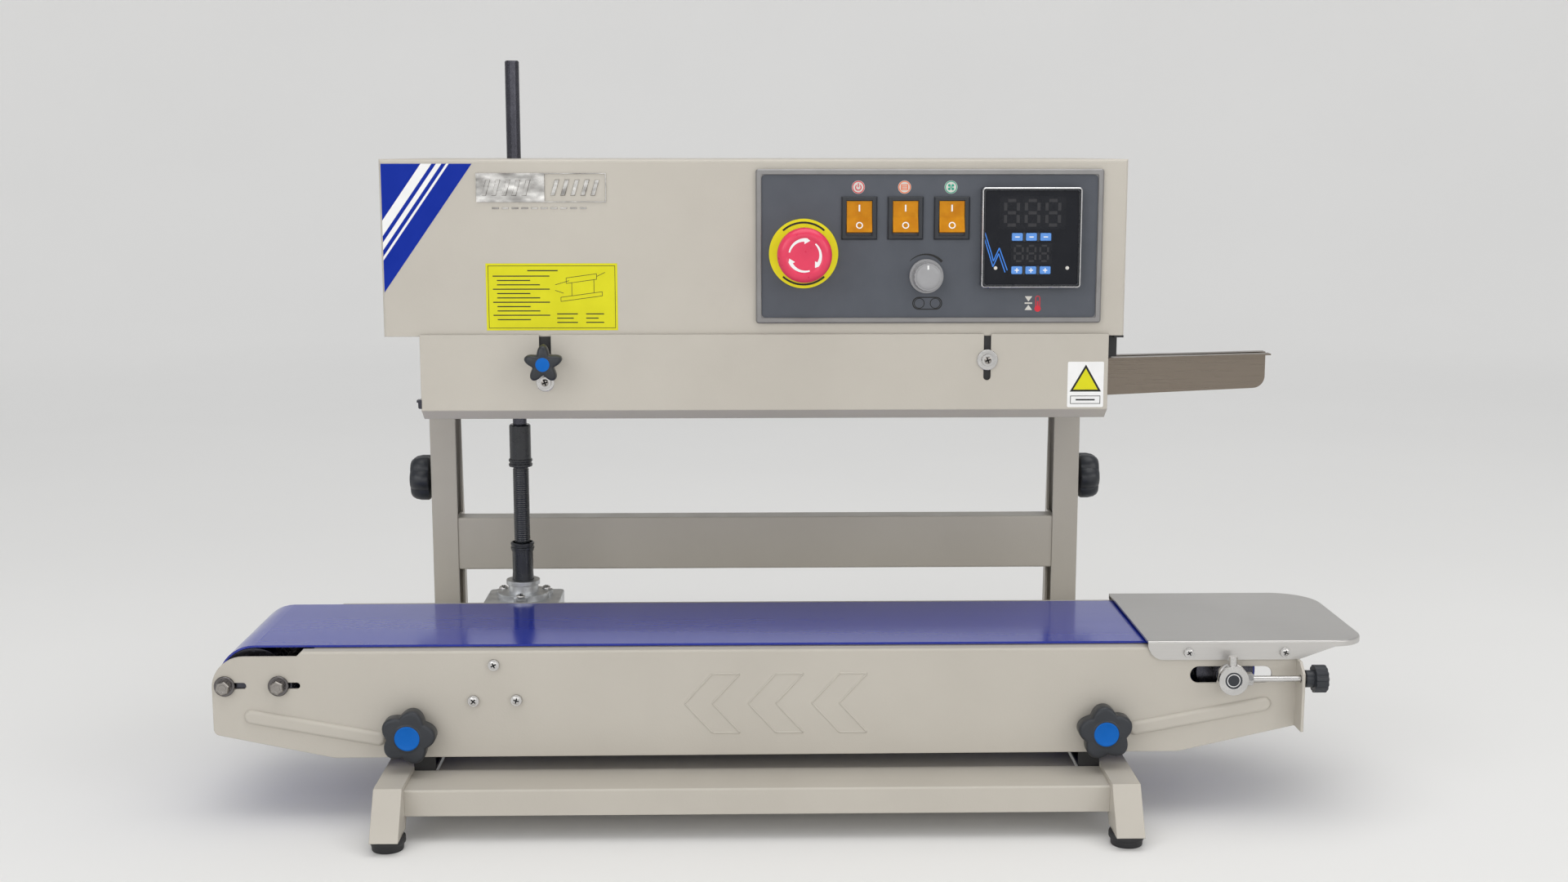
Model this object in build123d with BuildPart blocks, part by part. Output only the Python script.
from build123d import *
import os
from math import atan2, cos, degrees, radians, sin, sqrt

# Continuous band sealer for upright bags. Millimetres, +Z up, +X to the operator's right,
# the operator stands at -Y. The origin is on the floor, under the middle of the machine.

os.makedirs("parts", exist_ok=True)

# ---- Driving dimensions ---------------------------------------------------------------------
SHEET = 1.5             # folded sheet of covers and tray
PLATE = 2.0             # folded sheet of the frame and the conveyor side plates
GAP = 0.3               # clearance between curved faces of pieces that move past each other
FIT = 0.05              # radial clearance of a running fit

FRAME_X = -25.0         # middle plane of the base frame
LEG_SPAN = 259.5        # from that plane to the middle of each foot, column and hanger leg
DEPTH = 366.0           # overall front-to-back length of the feet
FOOT_W = 20.0
FOOT_TOP = 41.7
FOOT_SLOPE = 21.0       # how far each end face leans out on its way down
FOOT_FLAT = 30.0        # length of the flat that stands on a rubber foot
FOOT_BELLY = 22.0       # underside of the channel between its feet
FOOT_TAPER = 9.0        # length of the slope from that flat up to the belly
PAD_H = 9.5             # rubber feet
PAD_R = (10.8, 12.5)    # on the floor and under the channel
PAD_Y = 167.0
COLUMN_W = 21.0
COLUMN_Y = 112.0        # front face of the columns
COLUMN_TOP = 310.0
LOCK_Z = 212.0          # side lock knobs
LOCK_Y = 128.0

HEAD_X = (-295.5, 243.5)
HEAD_Y = (-65.0, 165.0)
HEAD_Z = (349.5, 477.0)
GUARD_X = (-269.3, 232.0)
GUARD_FRONT = -67.5
GUARD_FOLD_Z = 295.5

PANEL_X = (-25.5, 225.5)
PANEL_Z = (359.0, 470.0)
PANEL_FRONT = -68.5     # crest of the raised border
PANEL_FACE = -67.0      # sunk face inside the border
ROCKER_X = (49.1, 82.4, 115.9)
ROCKER_Z = 434.9
ROCKER_TILT = 9.0       # each way from the middle
ESTOP_XZ = (9.0, 409.5)
SPEED_XZ = (97.9, 393.2)
CONTROLLER_XZ = (173.0, 421.0)
CONTROLLER_SIZE = 72.0
KEY_X = (162.6, 172.8, 183.1)
KEY_ROWS = {"minus": 421.6, "plus": 397.7}

CONV_FRONT = -115.0     # outer face of the front side plate
CONV_BACK = 29.0        # outer face of the rear side plate
CONV_LEFT = -417.1
CONV_RIGHT = 367.5
CONV_TOP = 128.0
BELT_Y = (-104.0, 18.0)
BELT_T = 1.5
END_ROLLER = (-388.5, 103.0, 25.5)      # axis X, axis Z, radius under the belt
DRIVE_ROLLER = (-214.0, 100.4, 22.0)
TENSION_ROLLER = (316.1, 107.5, 21.0)
CLAMP_SPAN = 250.4      # from the frame's middle plane to the conveyor's clamping knobs
CLAMP_Z = 68.5
CONV_LIFT = 25.0
END_SLOT = 13.0         # length of the end roller's slots, between their end centres
END_BOLT_X = (-407.8, -369.3)
TRAY_X = (257.0, 417.1)
TRAY_TOP = 133.0

SHAFT_X = DRIVE_ROLLER[0]
SHAFT_Y = 60.0
SHAFT_R = 5.5
SHAFT_TOP = 552.0

SEAL_Y = -28.0          # plane in which the bag mouth is sealed
SEAL_R = 16.0           # band wheels, under the band
BAND_T = 0.5
BAND_Z = (311.0, 326.0)
RIGHT_WHEEL_X = 190.0
WHEEL_SHAFT_R = 4.0
PRESS_X = -178.2
PRESS_Z = 331.8
PRESS_R = 14.2
TRAIN_MODULE = 3.1      # gear pair between the left rear band wheel and the drive shaft
WHEEL_TEETH = 20
SHAFT_TEETH = 28
BAND_TEETH = 16         # gear pair between the two left band wheels

# ---- Worked out from them ---------------------------------------------------------------------
FOOT_END = DEPTH / 2
LEG_X = (FRAME_X - LEG_SPAN, FRAME_X + LEG_SPAN)
CLAMP_X = (FRAME_X - CLAMP_SPAN, FRAME_X + CLAMP_SPAN)
BAR_X = (LEG_X[0] + FOOT_W / 2, LEG_X[1] - FOOT_W / 2)
BELT_TOP = END_ROLLER[1] + END_ROLLER[2] + BELT_T
BASE_TOP = HEAD_Z[0] + PLATE
AXIS_Y = SEAL_R + BAND_T + 0.2          # from the seal plane to each band wheel axis
FRONT_AXIS_Y = SEAL_Y - AXIS_Y
REAR_AXIS_Y = SEAL_Y + AXIS_Y
TRAIN_DISTANCE = TRAIN_MODULE * (WHEEL_TEETH + SHAFT_TEETH) / 2
LEFT_WHEEL_X = SHAFT_X - sqrt(TRAIN_DISTANCE ** 2 - (SHAFT_Y - REAR_AXIS_Y) ** 2)
TRAIN_ANGLE = degrees(atan2(SHAFT_Y - REAR_AXIS_Y, SHAFT_X - LEFT_WHEEL_X))
BAND_MODULE = 2 * AXIS_Y / BAND_TEETH


# ---- Helpers ----------------------------------------------------------------------------------
def front(y):
    """Plane seen from the front at depth y: sketch x is X, sketch y is Z, extrusions come forward."""
    return Plane.XZ.offset(-y)


def side(x):
    """Plane seen from the right at x: sketch x is Y, sketch y is Z, extrusions go to +X."""
    return Plane.YZ.offset(x)


def level(z):
    """Horizontal plane at height z."""
    return Plane.XY.offset(z)


def block(x, y, z, mode=Mode.ADD):
    """Box between two corners, each direction given as (low, high)."""
    with Locations(((x[0] + x[1]) / 2, (y[0] + y[1]) / 2, (z[0] + z[1]) / 2)):
        Box(x[1] - x[0], y[1] - y[0], z[1] - z[0], mode=mode)


def rod(start, radius, length, axis="Z", mode=Mode.ADD):
    """Cylinder that starts at a point and runs along +axis."""
    turn = {"X": (0, 90, 0), "Y": (-90, 0, 0), "Z": (0, 0, 0)}[axis]
    with Locations(Location(start, turn)):
        Cylinder(radius, length, align=(Align.CENTER, Align.CENTER, Align.MIN), mode=mode)


def hexagon_head(start, across, length, axis="Y"):
    """Six-sided head or nut that starts at a point and runs along +axis."""
    plane = {"X": Plane.YZ, "Y": Plane.XZ.rotated((180, 0, 0)), "Z": Plane.XY}[axis]
    with BuildSketch(Plane(origin=start, x_dir=plane.x_dir, z_dir=plane.z_dir)) as outline:
        RegularPolygon(across / 2, 6, major_radius=False)
    extrude(outline.sketch, amount=length)


def save(piece, name):
    """Label a finished piece and write it as one node."""
    piece.part.label = name
    export_step(piece.part, f"parts/{name}.step")


def star_knob(plane, outer, lobes, thickness, bite, hub, stud, cap, name):
    """Lobed clamping knob: plane lies on its front face and looks at the operator's hand.

    outer is the radius over the lobes, bite the radius of the hollows between them, hub is the
    (radius, length) of the collar behind, stud the (radius, length) behind that, and cap the
    (radius, depth) of the round recess for its coloured cap.
    """
    with BuildPart() as knob:
        with BuildSketch(plane.offset(-thickness)) as grip:
            Circle(outer)
            with PolarLocations(outer + bite * 0.42, lobes, start_angle=90 + 180 / lobes):
                Circle(bite, mode=Mode.SUBTRACT)
            fillet(grip.vertices(), radius=bite * 0.3)
        extrude(amount=thickness)
        rim = knob.faces().sort_by(Axis(plane.origin, plane.z_dir))[-1].edges()
        chamfer(rim, length=min(thickness, 2 * bite) * 0.1)
        with BuildSketch(plane):
            Circle(cap[0])
        extrude(amount=-cap[1], mode=Mode.SUBTRACT)
        with BuildSketch(plane.offset(-thickness)):
            Circle(hub[0])
        extrude(amount=-hub[1])
        with BuildSketch(plane.offset(-thickness - hub[1])):
            Circle(stud[0])
        extrude(amount=-stud[1])
    save(knob, name)


def gear_outline(teeth, module, phase):
    """Corners of a spur gear with straight-sided teeth; phase is the direction of one tooth."""
    pitch_r = module * teeth / 2
    corners = []
    for tooth in range(teeth):
        middle = phase + 360 / teeth * tooth
        for radius, share in (
            (pitch_r - 1.05 * module, -0.34), (pitch_r + 0.75 * module, -0.12),
            (pitch_r + 0.75 * module, 0.12), (pitch_r - 1.05 * module, 0.34),
        ):
            angle = radians(middle + share * 360 / teeth)
            corners.append((radius * cos(angle), radius * sin(angle)))
    return corners


# ---- Base frame: a welded pair of feet with cross members and two columns -----------------------
with BuildPart() as foot_channels:
    for leg_x in LEG_X:
        with BuildSketch(side(leg_x - FOOT_W / 2)):
            Polygon(
                (-FOOT_END, PAD_H), (-FOOT_END + FOOT_SLOPE, FOOT_TOP), (FOOT_END - FOOT_SLOPE, FOOT_TOP),
                (FOOT_END, PAD_H), (FOOT_END - FOOT_FLAT, PAD_H),
                (FOOT_END - FOOT_FLAT - FOOT_TAPER, FOOT_BELLY),
                (-FOOT_END + FOOT_FLAT + FOOT_TAPER, FOOT_BELLY),
                (-FOOT_END + FOOT_FLAT, PAD_H), align=None)
        extrude(amount=FOOT_W)
        with BuildSketch(side(leg_x - FOOT_W / 2 + PLATE)):
            Polygon(
                (-FOOT_END + 4, PAD_H + PLATE), (-FOOT_END + FOOT_SLOPE + 1, FOOT_TOP - PLATE),
                (FOOT_END - FOOT_SLOPE - 1, FOOT_TOP - PLATE), (FOOT_END - 4, PAD_H + PLATE),
                (FOOT_END - FOOT_FLAT - 2, PAD_H + PLATE), (FOOT_END - FOOT_FLAT - FOOT_TAPER + 1, PAD_H - 2),
                (-FOOT_END + FOOT_FLAT + FOOT_TAPER - 1, PAD_H - 2),
                (-FOOT_END + FOOT_FLAT + 2, PAD_H + PLATE), align=None)
        extrude(amount=FOOT_W - 2 * PLATE, mode=Mode.SUBTRACT)
save(foot_channels, "foot_channels")

with BuildPart() as rubber_feet:
    for leg_x in LEG_X:
        for pad_y in (-PAD_Y, PAD_Y):
            with Locations((leg_x, pad_y, PAD_H / 2)):
                Cone(PAD_R[0], PAD_R[1], PAD_H)
save(rubber_feet, "rubber_feet")

CROSSBAR_Y = (-155.0, -110.0)
CROSSBAR_Z = (19.0, 38.0)
with BuildPart() as base_front_crossbar:
    block(BAR_X, CROSSBAR_Y, CROSSBAR_Z)
    inside_y = (CROSSBAR_Y[0] + PLATE, CROSSBAR_Y[1] - PLATE)
    block(BAR_X, inside_y, (0, CROSSBAR_Z[1] - PLATE), mode=Mode.SUBTRACT)
    long_edges = base_front_crossbar.edges().filter_by(Axis.X).group_by(Axis.Z)[-1]
    fillet(long_edges, radius=1.5)
save(base_front_crossbar, "base_front_crossbar")

DECK_SIDE_GAP = 16.0
DECK_Y = (CROSSBAR_Y[1], 112.0)
DECK_STEP_Y = 72.0      # behind it the deck reaches both feet
DECK_Z = (24.0, 34.0, 34.0 + SHEET)     # edge of the rims, underside, top
with BuildPart() as base_deck_plate:
    narrow_x = (BAR_X[0] + DECK_SIDE_GAP, BAR_X[1] - DECK_SIDE_GAP)
    block(narrow_x, (DECK_Y[0], DECK_STEP_Y), (DECK_Z[1], DECK_Z[2]))
    block(BAR_X, (DECK_STEP_Y, DECK_Y[1]), (DECK_Z[1], DECK_Z[2]))
    block(BAR_X, (DECK_Y[1] - SHEET, DECK_Y[1]), (DECK_Z[0], DECK_Z[2]))
    for rim_x in ((narrow_x[0], narrow_x[0] + SHEET), (narrow_x[1] - SHEET, narrow_x[1])):
        block(rim_x, (DECK_Y[0], DECK_STEP_Y), (DECK_Z[0], DECK_Z[2]))
save(base_deck_plate, "base_deck_plate")

LOCK_STUD_R = 4.0
LOCK_BOSS = 1.2         # pressed seat on the outside of each column
LOCK_BOSS_R = 8.0
RAIL_Z = (136.0, 180.0)
COLUMN_OPEN_Z = ((52.0, RAIL_Z[0]), (RAIL_Z[1], COLUMN_TOP + 5))    # open towards the middle here
COLUMN_BACK = (33.0, 47.0)      # from the front face to the rear edge, above and at the foot
COLUMN_STEP_Z = 261.0           # the rear edge is upright above it
with BuildPart() as columns:
    for leg_x, outward in zip(LEG_X, (-1, 1)):
        with BuildSketch(side(leg_x - COLUMN_W / 2)):
            Polygon(
                (COLUMN_Y, FOOT_TOP), (COLUMN_Y, COLUMN_TOP), (COLUMN_Y + COLUMN_BACK[0], COLUMN_TOP),
                (COLUMN_Y + COLUMN_BACK[0], COLUMN_STEP_Z), (COLUMN_Y + COLUMN_BACK[1], FOOT_TOP), align=None)
        extrude(amount=COLUMN_W)
        inside_x = (leg_x - COLUMN_W / 2 + PLATE, leg_x + COLUMN_W / 2 - PLATE)
        rear_y = (COLUMN_Y + COLUMN_BACK[0] - PLATE, COLUMN_Y + COLUMN_BACK[1] - PLATE)
        with BuildSketch(side(inside_x[0])):
            Polygon(
                (COLUMN_Y + PLATE, FOOT_TOP - 1), (COLUMN_Y + PLATE, COLUMN_TOP + 1),
                (rear_y[0], COLUMN_TOP + 1), (rear_y[0], COLUMN_STEP_Z), (rear_y[1], FOOT_TOP - 1), align=None)
        extrude(amount=inside_x[1] - inside_x[0], mode=Mode.SUBTRACT)
        open_x = sorted((leg_x, leg_x - outward * COLUMN_W))
        for open_z in COLUMN_OPEN_Z:
            block(open_x, (COLUMN_Y + PLATE, rear_y[0]), open_z, mode=Mode.SUBTRACT)
        face_x = leg_x + outward * COLUMN_W / 2
        boss_x = min(face_x, face_x + outward * LOCK_BOSS)
        rod((boss_x, LOCK_Y, LOCK_Z), LOCK_BOSS_R, LOCK_BOSS, axis="X")
        bore_x = min(face_x - outward * (PLATE + 1), face_x + outward * (LOCK_BOSS + 1))
        bore_length = PLATE + LOCK_BOSS + 2
        rod((bore_x, LOCK_Y, LOCK_Z), LOCK_STUD_R + FIT, bore_length, axis="X", mode=Mode.SUBTRACT)
save(columns, "columns")

RAIL_X = (LEG_X[0] + COLUMN_W / 2, LEG_X[1] - COLUMN_W / 2)
RAIL_Y = (COLUMN_Y + 1, COLUMN_Y + 20)
with BuildPart() as column_crossbar:
    block(RAIL_X, RAIL_Y, RAIL_Z)
    hollow_z = (RAIL_Z[0] + PLATE, RAIL_Z[1] - PLATE)
    block(RAIL_X, (RAIL_Y[0] + PLATE, RAIL_Y[1] + 5), hollow_z, mode=Mode.SUBTRACT)
    fillet(column_crossbar.edges().filter_by(Axis.X).group_by(Axis.Y)[0], radius=1.5)
save(column_crossbar, "column_crossbar")

SUPPORT_W = 30.0
SUPPORT_TOP = 108.0
SUPPORT_BEND_Z = 52.0       # above it the uprights have their full width
SUPPORT_FOOT_Y = -92.0      # the flanges on the feet begin here
SUPPORT_TAIL_W = 15.5       # width of the uprights and of the sole beside the feet
SUPPORT_Y = (CONV_FRONT + PLATE + 0.5, CONV_BACK - PLATE - 0.5)
SUPPORT_BOTTOM = CROSSBAR_Z[1] + 0.2
CLAMP_STUD_R = 4.0
with BuildPart() as conveyor_supports:
    for clamp_x, leg_x, outward in zip(CLAMP_X, LEG_X, (-1, 1)):
        strip_x = (clamp_x - SUPPORT_W / 2, clamp_x + SUPPORT_W / 2)
        foot_side = leg_x - outward * FOOT_W / 2
        tail_x = sorted((foot_side, foot_side - outward * SUPPORT_TAIL_W))
        web_x = sorted((foot_side, foot_side - outward * PLATE))
        block(web_x, SUPPORT_Y, (SUPPORT_BOTTOM, SUPPORT_BEND_Z + PLATE))
        block(tail_x, (CROSSBAR_Y[1] + 0.5, SUPPORT_Y[1]), (SUPPORT_BOTTOM, SUPPORT_BOTTOM + PLATE))
        block(strip_x, (SUPPORT_FOOT_Y, SUPPORT_Y[1]), (FOOT_TOP, FOOT_TOP + PLATE))
        for upright_y in ((SUPPORT_Y[0], SUPPORT_Y[0] + PLATE), (SUPPORT_Y[1] - PLATE, SUPPORT_Y[1])):
            block(tail_x, upright_y, (SUPPORT_BOTTOM, SUPPORT_BEND_Z + PLATE))
            block(strip_x, upright_y, (SUPPORT_BEND_Z, SUPPORT_TOP))
        with BuildSketch(front(SUPPORT_Y[1] + 1)) as lift_slot:
            with Locations((clamp_x, CLAMP_Z + CONV_LIFT / 2)):
                SlotCenterToCenter(CONV_LIFT + 1, 2 * CLAMP_STUD_R + 0.7, rotation=90)
        extrude(amount=SUPPORT_Y[1] - SUPPORT_Y[0] + 2, mode=Mode.SUBTRACT)
save(conveyor_supports, "conveyor_supports")

LOCK_KNOB_T = 16.2
LOCK_HUB = 0.9          # length of the collar between grip and column
for side_name, leg_x, outward in (("left", LEG_X[0], -1), ("right", LEG_X[1], 1)):
    knob_x = leg_x + outward * (COLUMN_W / 2 + LOCK_BOSS + LOCK_HUB + LOCK_KNOB_T)
    star_knob(
        Plane(origin=(knob_x, LOCK_Y, LOCK_Z), x_dir=(0, 1, 0), z_dir=(outward, 0, 0)),
        outer=19.7, lobes=6, thickness=LOCK_KNOB_T, bite=5.4, hub=(8.0, LOCK_HUB),
        stud=(LOCK_STUD_R, LOCK_BOSS + PLATE + 0.2), cap=(8.0, 0.8), name=f"{side_name}_lock_knob")


# ---- Head: folded housing on two legs that slide in the columns ---------------------------------
LEG_REACH = 8.0         # from the middle of each column to the outer face of the bar in it
LEG_T = 6.0
LEG_Y = (COLUMN_Y + 4.5, COLUMN_Y + 29.5)
LEG_BOTTOM = 120.0
with BuildPart() as hanger_legs:
    for leg_x, outward in zip(LEG_X, (-1, 1)):
        bar_x = sorted((leg_x + outward * LEG_REACH, leg_x + outward * (LEG_REACH - LEG_T)))
        block(bar_x, LEG_Y, (LEG_BOTTOM, HEAD_Z[0]))
save(hanger_legs, "hanger_legs")

WINDOW_X = (PANEL_X[0] + 6, PANEL_X[1] - 6)
WINDOW_Z = (PANEL_Z[0] + 6, PANEL_Z[1] - 6)
SHAFT_HOLE_R = 9.0      # clearance for the upright shaft in the head's sheets
LEDGE_W = 8.0           # ledges inside the ends that the rear cover is screwed to
with BuildPart() as head_housing:
    block(HEAD_X, HEAD_Y, HEAD_Z)
    upright = head_housing.edges().filter_by(Axis.Z).group_by(Axis.Y)[0]
    crest = head_housing.edges().group_by(Axis.Z)[-1].filter_by(Axis.X).group_by(Axis.Y)[0]
    fillet(upright + crest, radius=2.5)
    inside_x = (HEAD_X[0] + SHEET, HEAD_X[1] - SHEET)
    inside_y = (HEAD_Y[0] + SHEET, HEAD_Y[1] + 5)
    block(inside_x, inside_y, (HEAD_Z[0] - 5, HEAD_Z[1] - SHEET), mode=Mode.SUBTRACT)
    block(WINDOW_X, (HEAD_Y[0] - 5, HEAD_Y[0] + 5), WINDOW_Z, mode=Mode.SUBTRACT)
    rod((SHAFT_X, SHAFT_Y, HEAD_Z[1] - 5), SHAFT_HOLE_R, 10, mode=Mode.SUBTRACT)
    ledge_y = (HEAD_Y[1] - 3 * SHEET, HEAD_Y[1] - 2 * SHEET)
    for ledge_x in ((inside_x[0], HEAD_X[0] + LEDGE_W), (HEAD_X[1] - LEDGE_W, inside_x[1])):
        block(ledge_x, ledge_y, (BASE_TOP + 1, HEAD_Z[1] - SHEET))
save(head_housing, "head_housing")

PRESS_STUD_R = 3.0
TAB_Y = (-65.0, -62.7)
TAB_BOTTOM = 306.0
TAB_SPANS = ((PRESS_X - 18, PRESS_X + 18), (128.0, 158.0))
GUARD_SCREW_XZ = (143.3, 332.1)
GUIDE_ARM_X = (236.2, 243.0)    # arms that reach down on each side of the bag guide
GUIDE_ARM_BOTTOM = 331.5
BEARING_R = 9.0                 # bearing seats under the plate
with BuildPart() as head_base_plate:
    plate_x = (HEAD_X[0] + SHEET, HEAD_X[1] - SHEET)
    block(plate_x, (HEAD_Y[0] + SHEET, HEAD_Y[1] - 2 * SHEET), (HEAD_Z[0], BASE_TOP))
    block((GUIDE_ARM_X[0], HEAD_X[1] - 0.2), (HEAD_Y[0] + 0.2, SEAL_Y + 14), (HEAD_Z[0] - SHEET, HEAD_Z[0]))
    for facing in (-1, 1):
        arm_y = sorted((SEAL_Y + facing * 4.2, SEAL_Y + facing * 14))
        block(GUIDE_ARM_X, arm_y, (GUIDE_ARM_BOTTOM, HEAD_Z[0]))
    for tab_x in TAB_SPANS:
        block(tab_x, TAB_Y, (TAB_BOTTOM, HEAD_Z[0]))
        block(tab_x, (HEAD_Y[0] + SHEET, TAB_Y[1]), (TAB_BOTTOM, BASE_TOP))
    for wheel_x in (LEFT_WHEEL_X, RIGHT_WHEEL_X, PRESS_X):
        for wheel_y in (FRONT_AXIS_Y, REAR_AXIS_Y):
            rod((wheel_x, wheel_y, HEAD_Z[0] - 6), BEARING_R, 6)
            rod((wheel_x, wheel_y, HEAD_Z[0] - 10), WHEEL_SHAFT_R + FIT, 20, mode=Mode.SUBTRACT)
    rod((SHAFT_X, SHAFT_Y, HEAD_Z[0] - 5), SHAFT_HOLE_R, 10, mode=Mode.SUBTRACT)
    rod((PRESS_X, TAB_Y[0] - 5, PRESS_Z), PRESS_STUD_R + FIT, 10, axis="Y", mode=Mode.SUBTRACT)
    rod((GUARD_SCREW_XZ[0], TAB_Y[0] - 5, GUARD_SCREW_XZ[1]), 2.5, 10, axis="Y", mode=Mode.SUBTRACT)
save(head_base_plate, "head_base_plate")

LOUVRES = 9
LOUVRE_X = (-150.0, 120.0)      # middles of the two louvred fields
LOUVRE_Z = 430.0
GLAND_XZ = (30.0, 385.0)
with BuildPart() as head_rear_cover:
    cover_x = (HEAD_X[0] + SHEET + 0.3, HEAD_X[1] - SHEET - 0.3)
    block(cover_x, (HEAD_Y[1] - SHEET, HEAD_Y[1]), (HEAD_Z[0] + 0.3, HEAD_Z[1] - SHEET - 0.3))
    with BuildSketch(front(HEAD_Y[1] + 1)) as louvre_field:
        for field_x in LOUVRE_X:
            with Locations((field_x, LOUVRE_Z)):
                with GridLocations(0, 7, 1, LOUVRES):
                    SlotOverall(70, 3)
    extrude(amount=5, mode=Mode.SUBTRACT)
    rod((GLAND_XZ[0], HEAD_Y[1] - 5, GLAND_XZ[1]), 8.0, 10, axis="Y", mode=Mode.SUBTRACT)
save(head_rear_cover, "head_rear_cover")

with BuildPart() as cord_gland:
    hexagon_head((GLAND_XZ[0], HEAD_Y[1], GLAND_XZ[1]), 22, 5)
    rod((GLAND_XZ[0], HEAD_Y[1] + 5, GLAND_XZ[1]), 8.5, 9, axis="Y")
    rod((GLAND_XZ[0], HEAD_Y[1] - 8, GLAND_XZ[1]), 7.8, 8, axis="Y")
    rod((GLAND_XZ[0], HEAD_Y[1] - 9, GLAND_XZ[1]), 3.5, 30, axis="Y", mode=Mode.SUBTRACT)
save(cord_gland, "cord_gland")

GUARD_BACK = GUARD_FRONT + SHEET
GUARD_TOP = 351.0
LIP_DROP = 7.5
LIP_BACK = 11.0
PRESS_SLOT = (8.6, 314.0)       # width and lower end of the pressure knob's slot
SCREW_SLOT = (5.3, 317.0)
with BuildPart() as front_guard:
    with BuildSketch(side(GUARD_X[0])):
        with BuildLine():
            Polyline(
                (GUARD_FRONT, GUARD_TOP), (GUARD_FRONT, GUARD_FOLD_Z),
                (GUARD_FRONT + LIP_BACK, GUARD_FOLD_Z - LIP_DROP),
                (GUARD_FRONT + LIP_BACK + 0.9, GUARD_FOLD_Z - LIP_DROP + 1.2),
                (GUARD_BACK, GUARD_FOLD_Z + 0.8), (GUARD_BACK, GUARD_TOP), close=True)
        make_face()
    extrude(amount=GUARD_X[1] - GUARD_X[0])
    fold = front_guard.edges().filter_by(Axis.X).group_by(Axis.Y)[0].sort_by(Axis.Z)[0]
    fillet(fold, radius=1.2)
    with BuildSketch(front(GUARD_BACK + 2)):
        for slot_x, (slot_w, slot_z) in ((PRESS_X - 0.5, PRESS_SLOT), (GUARD_SCREW_XZ[0], SCREW_SLOT)):
            end_z = slot_z + slot_w / 2
            with Locations((slot_x, end_z)):
                Circle(slot_w / 2)
            with Locations((slot_x, (end_z + GUARD_TOP + 5) / 2)):
                Rectangle(slot_w, GUARD_TOP + 5 - end_z)
    extrude(amount=6, mode=Mode.SUBTRACT)
save(front_guard, "front_guard")

with BuildPart() as head_fasteners:
    for screw_x, screw_z, washer_r in ((PRESS_X - 0.7, 316.3, 6.5), (*GUARD_SCREW_XZ, 7.5)):
        rod((screw_x, GUARD_FRONT - 1.2, screw_z), washer_r, 1.2, axis="Y")
        rod((screw_x, GUARD_FRONT - 4.0, screw_z), 4.3, 2.8, axis="Y")
    for screw_x in (HEAD_X[0] + 20, (HEAD_X[0] + HEAD_X[1]) / 2, HEAD_X[1] - 20):
        for screw_z in (HEAD_Z[0] + 10, HEAD_Z[1] - 10):
            rod((screw_x, HEAD_Y[1], screw_z), 4.0, 2.2, axis="Y")
save(head_fasteners, "head_fasteners")

# ---- Control panel ----------------------------------------------------------------------------
BORDER = 3.8
CASE_HALF = 33.5        # half width of the controller body behind the panel
with BuildPart() as control_panel:
    block(PANEL_X, (PANEL_FRONT, HEAD_Y[0]), PANEL_Z)
    fillet(control_panel.edges().filter_by(Axis.Y), radius=2.2)
    chamfer(control_panel.faces().sort_by(Axis.Y)[0].edges(), length=1)
    with BuildSketch(front(PANEL_FACE)):
        with Locations(((PANEL_X[0] + PANEL_X[1]) / 2, (PANEL_Z[0] + PANEL_Z[1]) / 2)):
            RectangleRounded(PANEL_X[1] - PANEL_X[0] - 2 * BORDER, PANEL_Z[1] - PANEL_Z[0] - 2 * BORDER, 1.5)
    extrude(amount=5, mode=Mode.SUBTRACT)
    with BuildSketch(front(HEAD_Y[0] + 1)):
        for rocker_x in ROCKER_X:
            with Locations((rocker_x, ROCKER_Z)):
                Rectangle(23.0, 28.2)
        with Locations(CONTROLLER_XZ):
            Rectangle(2 * CASE_HALF + 0.4, 2 * CASE_HALF + 0.4)
        with Locations(ESTOP_XZ):
            Circle(11.2)
        with Locations(SPEED_XZ):
            Circle(3.6)
    extrude(amount=8, mode=Mode.SUBTRACT)
save(control_panel, "control_panel")

PIVOT_Y = -63.0         # rocker pivots
WELL_W = 18.8           # opening that the rocker moves in
WELL_H = 25.2
ROCKER_W = 18.2
with BuildPart() as switch_bezels:
    for rocker_x in ROCKER_X:
        bezel_x = (rocker_x - 12.85, rocker_x + 12.85)
        block(bezel_x, (PANEL_FACE - 2.2, PANEL_FACE), (ROCKER_Z - 15.4, ROCKER_Z + 15.4))
    chamfer(switch_bezels.faces().group_by(Axis.Y)[0].edges(), length=0.8)
    for rocker_x in ROCKER_X:
        body_z = (ROCKER_Z - 13.9, ROCKER_Z + 13.9)
        block((rocker_x - 11.3, rocker_x + 11.3), (PANEL_FACE, -44), body_z)
        well_x = (rocker_x - WELL_W / 2, rocker_x + WELL_W / 2)
        well_z = (ROCKER_Z - WELL_H / 2, ROCKER_Z + WELL_H / 2)
        block(well_x, (PANEL_FACE - 5, -50), well_z, mode=Mode.SUBTRACT)
save(switch_bezels, "switch_bezels")

# Side view of a rocker about its pivot in the middle position; its two faces meet in a valley.
ROCKER_SIDE = ((-7.6, -11.2), (-5.8, 0), (-7.6, 11.2), (-2.5, 11.2), (6, 6), (6, -6), (-2.5, -11.2))
for rocker_name, rocker_x in zip(("power", "heat", "fan"), ROCKER_X):
    with BuildPart() as rocker:
        with BuildSketch(side(rocker_x - ROCKER_W / 2)):
            with Locations(Location((PIVOT_Y, ROCKER_Z), -ROCKER_TILT)):
                Polygon(*ROCKER_SIDE, align=None)
        extrude(amount=ROCKER_W)
        rod((rocker_x - ROCKER_W / 2 - 0.2, PIVOT_Y, ROCKER_Z), 1.5, ROCKER_W + 0.4, axis="X")
    save(rocker, f"rocker_{rocker_name}")

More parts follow.
